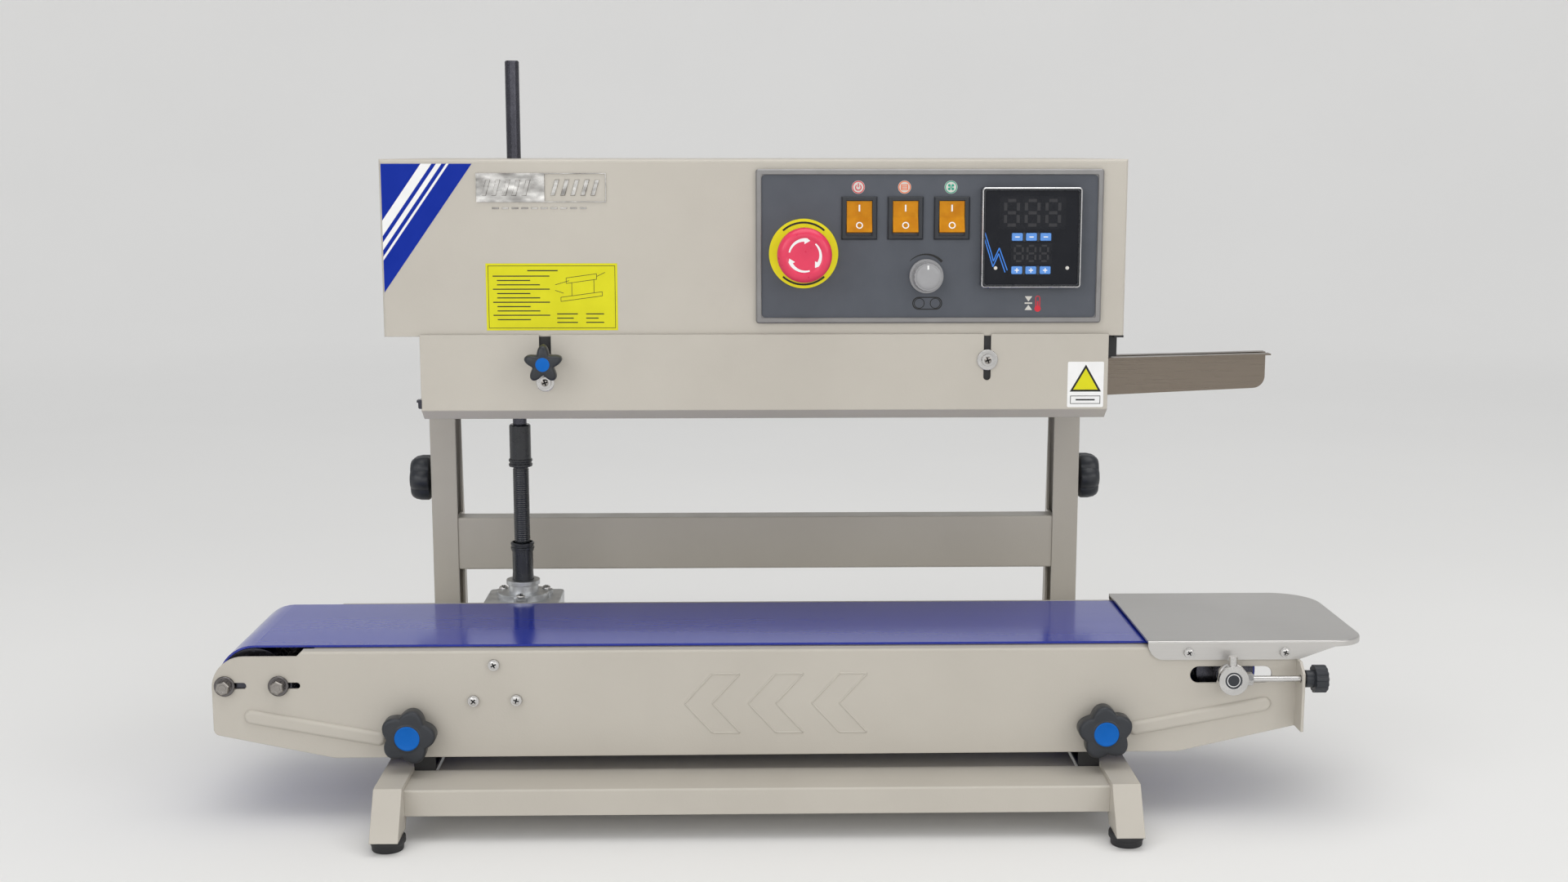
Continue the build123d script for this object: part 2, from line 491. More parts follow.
with BuildPart() as estop_collar:
    with BuildSketch(front(PANEL_FACE)):
        with Locations(ESTOP_XZ):
            Circle(25)
    extrude(amount=1.5)
    with BuildSketch(front(-48)):
        with Locations(ESTOP_XZ):
            Circle(11)
    extrude(amount=30)
    with BuildSketch(front(-47)):
        with Locations(ESTOP_XZ):
            Circle(7.3)
    extrude(amount=40, mode=Mode.SUBTRACT)
save(estop_collar, "estop_collar")

ESTOP_TOP = 97.0        # how far forward of the origin the mushroom stands
with BuildPart() as estop_button:
    with BuildSketch(Plane.XY) as mushroom:
        with BuildLine():
            Polyline((0, 46), (7, 46), (7, 83), (17.5, 83), (19.5, 85), (19.5, 92))
            ThreePointArc((19.5, 92), (17.6, 95.8), (13.5, ESTOP_TOP))
            Polyline((13.5, ESTOP_TOP), (12, ESTOP_TOP - 0.6), (0, ESTOP_TOP - 0.6), (0, 46))
        make_face()
    revolve(axis=Axis.Y)
estop_button.part = estop_button.part.rotate(Axis.X, 180).moved(Location((ESTOP_XZ[0], 0, ESTOP_XZ[1])))
save(estop_button, "estop_button")

SPEED_R = 12.3
with BuildPart() as speed_knob:
    with BuildSketch(front(PANEL_FACE - 0.6)) as skirt:
        with Locations(SPEED_XZ):
            Circle(SPEED_R)
    extrude(amount=3)
    with BuildSketch(front(PANEL_FACE - 3.6)) as grip:
        with Locations(SPEED_XZ):
            Circle(SPEED_R - 1.6)
            with PolarLocations(SPEED_R - 0.6, 18):
                Circle(1.3, mode=Mode.SUBTRACT)
    extrude(amount=11, taper=4)
    with BuildSketch(front(-52)):
        with Locations(SPEED_XZ):
            Circle(3.0)
    extrude(amount=16)
save(speed_knob, "speed_knob")

KEY_W = 7.9
KEY_H = 5.6
KEY_TRAVEL = 0.6
CASE_FRONT = -75.0
CASE_FACE = -73.8
with BuildPart() as controller_case:
    case_x = (CONTROLLER_XZ[0] - CONTROLLER_SIZE / 2, CONTROLLER_XZ[0] + CONTROLLER_SIZE / 2)
    case_z = (CONTROLLER_XZ[1] - CONTROLLER_SIZE / 2, CONTROLLER_XZ[1] + CONTROLLER_SIZE / 2)
    block(case_x, (CASE_FRONT, PANEL_FACE), case_z)
    fillet(controller_case.edges().filter_by(Axis.Y), radius=2.5)
    chamfer(controller_case.faces().sort_by(Axis.Y)[0].edges(), length=1)
    with BuildSketch(front(CASE_FACE)):
        with Locations(CONTROLLER_XZ):
            RectangleRounded(CONTROLLER_SIZE - 4.4, CONTROLLER_SIZE - 4.4, 2)
    extrude(amount=5, mode=Mode.SUBTRACT)
    body_x = (CONTROLLER_XZ[0] - CASE_HALF, CONTROLLER_XZ[0] + CASE_HALF)
    body_z = (CONTROLLER_XZ[1] - CASE_HALF, CONTROLLER_XZ[1] + CASE_HALF)
    block(body_x, (PANEL_FACE, 0), body_z)
    for row_z in KEY_ROWS.values():
        for key_x in KEY_X:
            pocket_x = (key_x - KEY_W / 2 - 0.2, key_x + KEY_W / 2 + 0.2)
            pocket_z = (row_z - KEY_H / 2 - 0.2, row_z + KEY_H / 2 + 0.2)
            block(pocket_x, (CASE_FACE - 2, CASE_FACE + 3.5), pocket_z, mode=Mode.SUBTRACT)
save(controller_case, "controller_case")

for row_name, row_z in KEY_ROWS.items():
    for number, key_x in enumerate(KEY_X, start=1):
        with BuildPart() as key:
            key_y = (CASE_FACE - 0.9, CASE_FACE + 3.5 - KEY_TRAVEL - 0.2)
            block((key_x - KEY_W / 2, key_x + KEY_W / 2), key_y, (row_z - KEY_H / 2, row_z + KEY_H / 2))
            fillet(key.edges().filter_by(Axis.Y), radius=0.8)
            chamfer(key.faces().sort_by(Axis.Y)[0].edges(), length=0.3)
        save(key, f"{row_name}_key_{number}")

star_knob(
    Plane(origin=(PRESS_X, -92, PRESS_Z), x_dir=(1, 0, 0), z_dir=(0, -1, 0)),
    outer=14.0, lobes=5, thickness=10, bite=7.0, hub=(6.0, 10.0), stud=(PRESS_STUD_R, 9.5), cap=(4.8, 0.8),
    name="pressure_knob")

# ---- Sealing train under the head ---------------------------------------------------------------
BAND_GEAR_Z = BASE_TOP + 1.0
TRAIN_GEAR_Z = BASE_TOP + 13.0
GEAR_T = 8.0
WHEEL_Z = (309.5, 327.5)

for wheel_name, wheel_x, wheel_y in (
    ("front_left", LEFT_WHEEL_X, FRONT_AXIS_Y), ("rear_left", LEFT_WHEEL_X, REAR_AXIS_Y),
    ("front_right", RIGHT_WHEEL_X, FRONT_AXIS_Y), ("rear_right", RIGHT_WHEEL_X, REAR_AXIS_Y),
):
    geared = wheel_x < 0
    driving = wheel_name == "rear_left"
    shaft_top = TRAIN_GEAR_Z + GEAR_T + 12 if driving else BASE_TOP + 10
    with BuildPart() as wheel:
        rod((wheel_x, wheel_y, WHEEL_Z[0]), SEAL_R - GAP, WHEEL_Z[1] - WHEEL_Z[0])
        rod((wheel_x, wheel_y, WHEEL_Z[0] - 4), 5.0, 4)
        rod((wheel_x, wheel_y, WHEEL_Z[1]), 6.0, 6)
        rod((wheel_x, wheel_y, WHEEL_Z[1]), WHEEL_SHAFT_R, shaft_top - WHEEL_Z[1])
        if geared:
            tooth_at = -90 if driving else 90 + 180 / BAND_TEETH
            with BuildSketch(level(BAND_GEAR_Z)):
                with Locations((wheel_x, wheel_y)):
                    Polygon(*gear_outline(BAND_TEETH, BAND_MODULE, tooth_at), align=None)
            extrude(amount=GEAR_T)
        if driving:
            rod((wheel_x, wheel_y, BAND_GEAR_Z + GEAR_T), 8.0, TRAIN_GEAR_Z - BAND_GEAR_Z - GEAR_T)
            with BuildSketch(level(TRAIN_GEAR_Z)):
                with Locations((wheel_x, wheel_y)):
                    Polygon(*gear_outline(WHEEL_TEETH, TRAIN_MODULE, TRAIN_ANGLE), align=None)
            extrude(amount=GEAR_T)
        if not geared:
            rod((wheel_x, wheel_y, BASE_TOP + 0.5), 7.0, 4)
    save(wheel, f"band_wheel_{wheel_name}")

KEY_BAR = 3.0           # width of the key in the shaft gear
with BuildPart() as shaft_gear:
    with BuildSketch(level(TRAIN_GEAR_Z)):
        with Locations((SHAFT_X, SHAFT_Y)):
            gap_at = TRAIN_ANGLE + 180 + 180 / SHAFT_TEETH
            Polygon(*gear_outline(SHAFT_TEETH, TRAIN_MODULE, gap_at), align=None)
    extrude(amount=GEAR_T)
    rod((SHAFT_X, SHAFT_Y, BASE_TOP + GAP), 14.0, TRAIN_GEAR_Z - BASE_TOP - GAP)
    rod((SHAFT_X, SHAFT_Y, TRAIN_GEAR_Z + GEAR_T), 12.0, 10)
    rod((SHAFT_X, SHAFT_Y, BASE_TOP - 5), SHAFT_R + FIT, 60, mode=Mode.SUBTRACT)
    key_z = (BASE_TOP + GAP, TRAIN_GEAR_Z + GEAR_T + 10)
    key_y = (SHAFT_Y - SHAFT_R - 2, SHAFT_Y - SHAFT_R + 1.5)
    block((SHAFT_X - KEY_BAR / 2, SHAFT_X + KEY_BAR / 2), key_y, key_z)
save(shaft_gear, "shaft_gear")

for wheel_name, wheel_y in (("front", FRONT_AXIS_Y), ("rear", REAR_AXIS_Y)):
    with BuildPart() as press_wheel:
        rod((PRESS_X, wheel_y, BAND_Z[0]), PRESS_R, BAND_Z[1] - BAND_Z[0])
        with BuildSketch(level(BAND_Z[0] + 3)) as knurl:
            with Locations((PRESS_X, wheel_y)):
                Circle(PRESS_R + 0.9)
                with PolarLocations(PRESS_R + 1.1, 36):
                    Circle(0.7, mode=Mode.SUBTRACT)
        extrude(amount=9)
        rod((PRESS_X, wheel_y, BAND_Z[1]), 6.0, 6)
        rod((PRESS_X, wheel_y, BAND_Z[1]), WHEEL_SHAFT_R, BASE_TOP + 9 - BAND_Z[1])
        rod((PRESS_X, wheel_y, BASE_TOP + 0.5), 7.0, 4)
    save(press_wheel, f"press_wheel_{wheel_name}")

with BuildPart() as seal_bands:
    for band_y in (FRONT_AXIS_Y, REAR_AXIS_Y):
        with BuildSketch(level(BAND_Z[0])):
            with Locations(((LEFT_WHEEL_X + RIGHT_WHEEL_X) / 2, band_y)):
                SlotCenterToCenter(RIGHT_WHEEL_X - LEFT_WHEEL_X, 2 * (SEAL_R + BAND_T))
                SlotCenterToCenter(RIGHT_WHEEL_X - LEFT_WHEEL_X, 2 * SEAL_R, mode=Mode.SUBTRACT)
        extrude(amount=BAND_Z[1] - BAND_Z[0])
save(seal_bands, "seal_bands")

BLOCK_LENGTH = 90.0
BLOCK_DEPTH = 12.0
BLOCK_Z = (309.0, 329.0)
BLOCK_CLEAR = 0.3       # from each block to the inside of its band
# Middle along X and number of cooling fins of each facing pair of blocks inside the bands.
BLOCK_PAIRS = {"heating": (105.0, 0), "cooling": (-5.0, 9)}
with BuildPart() as sealing_blocks:
    for centre_x, fins in BLOCK_PAIRS.values():
        for facing in (-1, 1):
            near = SEAL_Y + facing * (0.2 + BAND_T + BLOCK_CLEAR)
            block_x = (centre_x - BLOCK_LENGTH / 2, centre_x + BLOCK_LENGTH / 2)
            block(block_x, sorted((near, near + facing * BLOCK_DEPTH)), BLOCK_Z)
            for fin in range(fins):
                cut_x = centre_x + (fin - (fins - 1) / 2) * BLOCK_LENGTH / (fins + 1)
                cut_y = sorted((near + facing * 5, near + facing * (BLOCK_DEPTH + 1)))
                block((cut_x - 1.2, cut_x + 1.2), cut_y, (BLOCK_Z[0] - 1, BLOCK_Z[1] + 1), mode=Mode.SUBTRACT)
            for post in (-1, 1):
                post_x = centre_x + post * (BLOCK_LENGTH / 2 - 8)
                rod((post_x, near + facing * 5.2, BLOCK_Z[1]), 3.0, HEAD_Z[0] - BLOCK_Z[1])
save(sealing_blocks, "sealing_blocks")

MOTOR_Z = TRAIN_GEAR_Z + GEAR_T + 4
REDUCER_H = 26.0        # square reduction gear under the round motor
with BuildPart() as drive_motor:
    with BuildSketch(level(MOTOR_Z)):
        with Locations((LEFT_WHEEL_X, REAR_AXIS_Y + 4)):
            RectangleRounded(78, 78, 8)
    extrude(amount=REDUCER_H)
    rod((LEFT_WHEEL_X, REAR_AXIS_Y + 4, MOTOR_Z + REDUCER_H), 35.0, 62)
    for post_x, post_y in ((-34, -34), (34, -34), (-35.5, 20), (35.5, 12)):
        rod((LEFT_WHEEL_X + post_x, REAR_AXIS_Y + post_y, BASE_TOP), 3.5, MOTOR_Z - BASE_TOP)
    rod((LEFT_WHEEL_X, REAR_AXIS_Y, MOTOR_Z - 1), WHEEL_SHAFT_R + FIT, 12, mode=Mode.SUBTRACT)
save(drive_motor, "drive_motor")

# ---- Bag inlet guide ----------------------------------------------------------------------------
GUIDE_X = (209.0, 359.4)
GUIDE_PLATE_END = 357.5
GUIDE_GAP = 6.0
with BuildPart() as bag_guide:
    for facing in (-1, 1):
        inner_y = SEAL_Y + facing * GUIDE_GAP / 2
        outer_y = inner_y + facing
        back_y = max(inner_y, outer_y)
        with BuildSketch(front(back_y)) as guide_face:
            Polygon(
                (GUIDE_X[0], 300), (GUIDE_PLATE_END, 306.7), (GUIDE_PLATE_END, 333), (GUIDE_X[0] + 27, 330),
                (GUIDE_X[0] + 27, HEAD_Z[0]), (GUIDE_X[0] + 3, HEAD_Z[0]), (GUIDE_X[0] + 3, 330),
                (GUIDE_X[0], 330), align=None)
            fillet(guide_face.vertices().group_by(Axis.X)[-1].sort_by(Axis.Y)[0], radius=9)
        extrude(amount=1)
        flange_y = sorted((inner_y, outer_y + facing * 8))
        with BuildSketch(front(flange_y[1])):
            Polygon(
                (GUIDE_X[0] + 29, 330.1), (GUIDE_X[1], 333), (GUIDE_X[1], 332), (GUIDE_X[0] + 29, 329.1),
                align=None)
        extrude(amount=flange_y[1] - flange_y[0])
        hanger_y = sorted((inner_y, outer_y + facing * 9))
        block((GUIDE_X[0] + 3, GUIDE_X[0] + 27), hanger_y, (HEAD_Z[0] - 1.2, HEAD_Z[0]))
save(bag_guide, "bag_guide")


# ---- Conveyor -----------------------------------------------------------------------------------
BOTTOM_LEFT_X = -331.1      # bends of the lower edge
BOTTOM_RIGHT_X = 281.3
BOTTOM_Z = 49.0
STEP_X = -352.5             # the top flange begins here
TENSION_SLOT = (288.5, 348.1)
END_FLANGE = 17.0           # flanges at the right end that carry the tensioning screws
RIB_W = 10.4
RIB_H = 2.8
RIBS = (((-389.5, 80.2), (-298.9, 63.4)), ((249.7, 67.9), (342.9, 85.5)))
AXLE_R = 6.0                # axles of all three rollers
BEARING_DEPTH = 5.0         # drive roller's bearing seat behind the front plate
SCREW_R = 2.0               # tensioning screws
SCREW_Y = (-127.0, 41.0)


def side_outline():
    """Outline of a side plate, seen from the front."""
    with BuildSketch() as outline:
        with BuildLine():
            Polyline(
                (CONV_LEFT + 23, 124.5), (STEP_X - 3.5, 124.5), (STEP_X, CONV_TOP), (CONV_RIGHT, CONV_TOP),
                (CONV_RIGHT, 69.4), (BOTTOM_RIGHT_X, BOTTOM_Z + 1), (BOTTOM_LEFT_X, BOTTOM_Z),
                (CONV_LEFT, 67), (CONV_LEFT, 101.5))
            TangentArc((CONV_LEFT, 101.5), (CONV_LEFT + 23, 124.5), tangent=(0, 1))
        make_face()
        corner = outline.vertices().sort_by_distance((CONV_LEFT, 67))[0]
        fillet(corner, radius=5)
    return outline.sketch


def slot_cuts():
    """Slots and round holes common to both side plates, seen from the front."""
    with BuildSketch() as cuts:
        for bolt_x in END_BOLT_X:
            with Locations((bolt_x + END_SLOT / 2, END_ROLLER[1])):
                SlotCenterToCenter(END_SLOT, 4.7)
        with Locations(((TENSION_SLOT[0] + TENSION_SLOT[1]) / 2, TENSION_ROLLER[1])):
            SlotOverall(TENSION_SLOT[1] - TENSION_SLOT[0], 12.4)
        for clamp_x in CLAMP_X:
            with Locations((clamp_x, CLAMP_Z)):
                Circle(CLAMP_STUD_R + FIT)
    return cuts.sketch


def rib(left, right):
    """Pressed stiffening rib with a rounded crest on the front plate, between two (x, z) ends."""
    length = sqrt((right[0] - left[0]) ** 2 + (right[1] - left[1]) ** 2)
    slant = degrees(atan2(right[1] - left[1], right[0] - left[0]))
    with BuildPart() as ridge:
        with BuildSketch(front(CONV_FRONT + 0.5)):
            with Locations(Location(((left[0] + right[0]) / 2, (left[1] + right[1]) / 2), slant)):
                SlotCenterToCenter(length, RIB_W)
        extrude(amount=RIB_H + 0.5)
        fillet(ridge.faces().sort_by(Axis.Y)[0].edges(), radius=RIB_H - 0.1)
    return ridge.part


with BuildPart() as conveyor_front_plate:
    with BuildSketch(front(CONV_FRONT + PLATE)):
        add(side_outline())
        add(slot_cuts(), mode=Mode.SUBTRACT)
    extrude(amount=PLATE)
    block((STEP_X, CONV_RIGHT), (CONV_FRONT, -106), (CONV_TOP - PLATE, CONV_TOP))
    low_flange_z = (BOTTOM_Z + 0.6, BOTTOM_Z + 0.6 + PLATE)
    block((BOTTOM_LEFT_X + 80, BOTTOM_RIGHT_X - 80), (CONV_FRONT + 0.5, -102), low_flange_z)
    with BuildSketch(side(CONV_RIGHT - PLATE)):
        Polygon(
            (CONV_FRONT, 69.4), (CONV_FRONT, 119), (CONV_FRONT - END_FLANGE + 9, 119),
            (CONV_FRONT - END_FLANGE, 112), (CONV_FRONT - END_FLANGE, 69.4), align=None)
    extrude(amount=PLATE)
    rod((CONV_RIGHT - 5, SCREW_Y[0], TENSION_ROLLER[1]), SCREW_R + 0.8, 10, axis="X", mode=Mode.SUBTRACT)
    rod((DRIVE_ROLLER[0], CONV_FRONT + PLATE, DRIVE_ROLLER[1]), 10.0, BEARING_DEPTH, axis="Y")
    bore_y = CONV_FRONT + PLATE + 0.5
    bore_depth = BEARING_DEPTH + 5
    rod((DRIVE_ROLLER[0], bore_y, DRIVE_ROLLER[1]), AXLE_R + FIT, bore_depth, axis="Y", mode=Mode.SUBTRACT)
    bend = conveyor_front_plate.edges().filter_by(Axis.X).sort_by_distance((0, CONV_FRONT, CONV_TOP))[0]
    fillet(bend, radius=1.8)
    for rib_ends in RIBS:
        add(rib(*rib_ends))
save(conveyor_front_plate, "conveyor_front_plate")

with BuildPart() as conveyor_rear_plate:
    with BuildSketch(front(CONV_BACK)):
        add(side_outline())
        add(slot_cuts(), mode=Mode.SUBTRACT)
    extrude(amount=PLATE)
    block((STEP_X, CONV_RIGHT), (20, CONV_BACK), (CONV_TOP - PLATE, CONV_TOP))
    with BuildSketch(side(CONV_RIGHT - PLATE)):
        Polygon(
            (CONV_BACK - PLATE, 69.4), (CONV_BACK - PLATE, 119), (CONV_BACK + END_FLANGE - 9, 119),
            (CONV_BACK + END_FLANGE, 112), (CONV_BACK + END_FLANGE, 69.4), align=None)
    extrude(amount=PLATE)
    rod((CONV_RIGHT - 5, SCREW_Y[1], TENSION_ROLLER[1]), SCREW_R + 0.8, 10, axis="X", mode=Mode.SUBTRACT)
    rod((DRIVE_ROLLER[0], 20, DRIVE_ROLLER[1]), AXLE_R + FIT, 20, axis="Y", mode=Mode.SUBTRACT)
save(conveyor_rear_plate, "conveyor_rear_plate")

BED_X = (-345.0, 268.0)
BED_TOP = BELT_TOP - BELT_T - 0.1
BED_Y = (CONV_FRONT + PLATE + 0.2, CONV_BACK - PLATE - 0.2)
with BuildPart() as slider_bed:
    skin_bottom = CONV_TOP - PLATE - 0.2 - SHEET
    block(BED_X, (BELT_Y[0] - 1.5, BELT_Y[1] + 1.5), (skin_bottom, BED_TOP))
    block(BED_X, BED_Y, (CONV_TOP - PLATE - 10, CONV_TOP - PLATE - 0.2))
    block(BED_X, (BED_Y[0] + PLATE, BED_Y[1] - PLATE), (100, skin_bottom), mode=Mode.SUBTRACT)
    over_roller_x = (DRIVE_ROLLER[0] - 26, DRIVE_ROLLER[0] + 26)
    block(over_roller_x, (-120, 40), (100, skin_bottom), mode=Mode.SUBTRACT)
save(slider_bed, "slider_bed")


def belt_ring(grow):
    """Outline of the belt loop around its three rollers, grown outwards by grow."""
    with BuildSketch() as ring:
        for axis_x, axis_z, radius in (END_ROLLER, DRIVE_ROLLER, TENSION_ROLLER):
            with Locations((axis_x, axis_z)):
                Circle(radius + grow)
        make_hull(ring.edges())
    return ring.sketch


with BuildPart() as conveyor_belt:
    with BuildSketch(front(BELT_Y[1])):
        add(belt_ring(BELT_T))
        add(belt_ring(0), mode=Mode.SUBTRACT)
    extrude(amount=BELT_Y[1] - BELT_Y[0])
save(conveyor_belt, "conveyor_belt")

TRAY_Y = (-116.8, 30.8)
TRAY_CORNERS = (24.0, 34.0)     # radii of the front and the rear corner at the free end
SKIRT_DROP = 14.0
TRAY_LIP = 4.5


def tray_plan(inset):
    """Outline of the tray seen from above, drawn in by inset on the three turned-down sides."""
    with BuildSketch() as plan:
        low = (TRAY_X[0], TRAY_Y[0] + inset)
        high = (TRAY_X[1] - inset, TRAY_Y[1] - inset)
        Polygon(low, (high[0], low[1]), high, (low[0], high[1]), align=None)
        free_end = plan.vertices().group_by(Axis.X)[-1].sort_by(Axis.Y)
        fillet(free_end[0], radius=TRAY_CORNERS[0] - inset)
        fillet(plan.vertices().sort_by_distance(high)[0], radius=TRAY_CORNERS[1] - inset)
    return plan.sketch


with BuildPart() as feed_tray:
    with BuildSketch(level(TRAY_TOP - TRAY_LIP)):
        add(tray_plan(0))
    extrude(amount=TRAY_LIP)
    crown = feed_tray.faces().sort_by(Axis.Z)[-1].edges()
    fillet(crown.filter_by(lambda edge: edge.center().X > TRAY_X[0] + 1), radius=1.4)
    with BuildSketch(level(TRAY_TOP - TRAY_LIP)):
        add(tray_plan(SHEET))
    extrude(amount=TRAY_LIP - SHEET, mode=Mode.SUBTRACT)
    for skirt_back, corner_r in zip((TRAY_Y[0] + SHEET, TRAY_Y[1]), TRAY_CORNERS):
        with BuildSketch(front(skirt_back)):
            with BuildLine():
                skirt_end = TRAY_X[1] - corner_r
                Polyline(
                    (TRAY_X[0] + 12, TRAY_TOP - SKIRT_DROP), (CONV_RIGHT - 1, TRAY_TOP - SKIRT_DROP),
                    (skirt_end, TRAY_TOP - TRAY_LIP), (skirt_end, TRAY_TOP - 2), (TRAY_X[0], TRAY_TOP - 2))
                skirt_start = (TRAY_X[0] + 12, TRAY_TOP - SKIRT_DROP)
                TangentArc((TRAY_X[0], TRAY_TOP - 2), skirt_start, tangent=(0, -1))
            make_face()
        extrude(amount=SHEET)
save(feed_tray, "feed_tray")

# ---- Rollers ------------------------------------------------------------------------------------
ROLLER_Y = (-105.5, 19.5)
ROLLER_L = ROLLER_Y[1] - ROLLER_Y[0]
END_PLATE_Y = (CONV_FRONT + PLATE + 0.2, CONV_BACK - PLATE - 0.2)
WASHER_R = 7.1
WASHER_T = 1.5
BOLT_R = 2.0
with BuildPart() as end_roller_bracket:
    plate_x = (END_BOLT_X[0] - 7, END_BOLT_X[1] + 9)
    plate_z = (END_ROLLER[1] - 9, END_ROLLER[1] + 9)
    block(plate_x, (END_PLATE_Y[0], END_PLATE_Y[0] + PLATE), plate_z)
    block(plate_x, (END_PLATE_Y[1] - PLATE, END_PLATE_Y[1]), plate_z)
    rod((END_ROLLER[0], END_PLATE_Y[0], END_ROLLER[1]), AXLE_R, END_PLATE_Y[1] - END_PLATE_Y[0], axis="Y")
    for bolt_x in END_BOLT_X:
        rod((bolt_x, CONV_FRONT - 5, END_ROLLER[1]), BOLT_R, 6 + PLATE, axis="Y")
        rod((bolt_x, CONV_FRONT - WASHER_T - 0.3, END_ROLLER[1]), WASHER_R, WASHER_T, axis="Y")
        hexagon_head((bolt_x, CONV_FRONT - 6.3, END_ROLLER[1]), 8.2, 4.5)
        rod((bolt_x, CONV_BACK - PLATE - 1, END_ROLLER[1]), BOLT_R, 6 + PLATE, axis="Y")
        rod((bolt_x, CONV_BACK + 0.3, END_ROLLER[1]), WASHER_R, WASHER_T, axis="Y")
        hexagon_head((bolt_x, CONV_BACK + 0.3 + WASHER_T, END_ROLLER[1]), 8.2, 4.5)
save(end_roller_bracket, "end_roller_bracket")

with BuildPart() as end_roller:
    face = (END_ROLLER[0], ROLLER_Y[0], END_ROLLER[1])
    rod(face, END_ROLLER[2] - GAP, ROLLER_L, axis="Y")
    rod(face, END_ROLLER[2] - 5.5, 5, axis="Y", mode=Mode.SUBTRACT)
    rod(face, 11.0, 5, axis="Y")
    rod(face, AXLE_R + FIT, ROLLER_L, axis="Y", mode=Mode.SUBTRACT)
save(end_roller, "end_roller")

MITRE_R = 18.0          # large end of each mitre gear, at the same distance from their common apex
MITRE_SMALL = 9.0
with BuildPart() as drive_roller:
    drive_x, drive_z, drive_r = DRIVE_ROLLER
    rod((drive_x, ROLLER_Y[0], drive_z), drive_r - GAP, ROLLER_L, axis="Y")
    axle_y = CONV_FRONT + PLATE + 1
    rod((drive_x, axle_y, drive_z), AXLE_R, SHAFT_Y + MITRE_R + 4 - axle_y, axis="Y")
    with BuildSketch(Plane.XY) as mitre:
        Polygon(
            (0, SHAFT_Y + MITRE_SMALL), (MITRE_SMALL - 0.5, SHAFT_Y + MITRE_SMALL),
            (MITRE_R - 0.5, SHAFT_Y + MITRE_R), (MITRE_R - 2, SHAFT_Y + MITRE_R + 2),
            (0, SHAFT_Y + MITRE_R + 2), align=None)
    gear = Solid.revolve(mitre.sketch.face(), 360, Axis.Y).moved(Location((drive_x, 0, drive_z)))
    add(gear)
save(drive_roller, "drive_roller")

AXLE_Y = (-133.0, 46.0)
EYE_R = 10.7
EYE_W = 10.0            # length of the eyes that pull the axle's ends
with BuildPart() as tension_roller:
    face = (TENSION_ROLLER[0], ROLLER_Y[0], TENSION_ROLLER[1])
    rod(face, TENSION_ROLLER[2] - GAP, ROLLER_L, axis="Y")
    rod(face, AXLE_R + FIT, ROLLER_L, axis="Y", mode=Mode.SUBTRACT)
save(tension_roller, "tension_roller")

KNOB_FACE_X = CONV_RIGHT + 1.1
KNOB_HUB = 5.9
KNOB_GRIP = 9.0
with BuildPart() as tension_carriage:
    tension_x, tension_z = TENSION_ROLLER[0], TENSION_ROLLER[1]
    rod((tension_x, AXLE_Y[0], tension_z), AXLE_R, AXLE_Y[1] - AXLE_Y[0], axis="Y")
    for screw_y, screw_end in zip(SCREW_Y, (KNOB_FACE_X + 8.5, KNOB_FACE_X + 12.5)):
        rod((tension_x, screw_y - EYE_W / 2, tension_z), EYE_R, EYE_W, axis="Y")
        rod((tension_x, screw_y, tension_z + 9), 3.2, 7.6)
        hexagon_head((tension_x + 9.5, screw_y, tension_z), 8.0, 5.0, axis="X")
        rod((tension_x + 9, screw_y, tension_z), SCREW_R, screw_end - tension_x - 9, axis="X")
    rod((tension_x, AXLE_Y[0] - 4, tension_z), AXLE_R + 0.4, 6.5, axis="Y", mode=Mode.SUBTRACT)
save(tension_carriage, "tension_carriage")

with BuildPart() as tension_knob:
    rod((KNOB_FACE_X, SCREW_Y[0], tension_z), 6.2, KNOB_HUB, axis="X")
    with BuildSketch(side(KNOB_FACE_X + KNOB_HUB)):
        with Locations((SCREW_Y[0], tension_z)):
            Circle(10.0)
            with PolarLocations(10.6, 14):
                Circle(1.3, mode=Mode.SUBTRACT)
    extrude(amount=KNOB_GRIP)
    chamfer(tension_knob.faces().sort_by(Axis.X)[-1].edges(), length=0.6)
    bore_x = KNOB_FACE_X - 1
    rod((bore_x, SCREW_Y[0], tension_z), SCREW_R + FIT, KNOB_HUB + KNOB_GRIP, axis="X", mode=Mode.SUBTRACT)
save(tension_knob, "tension_knob")

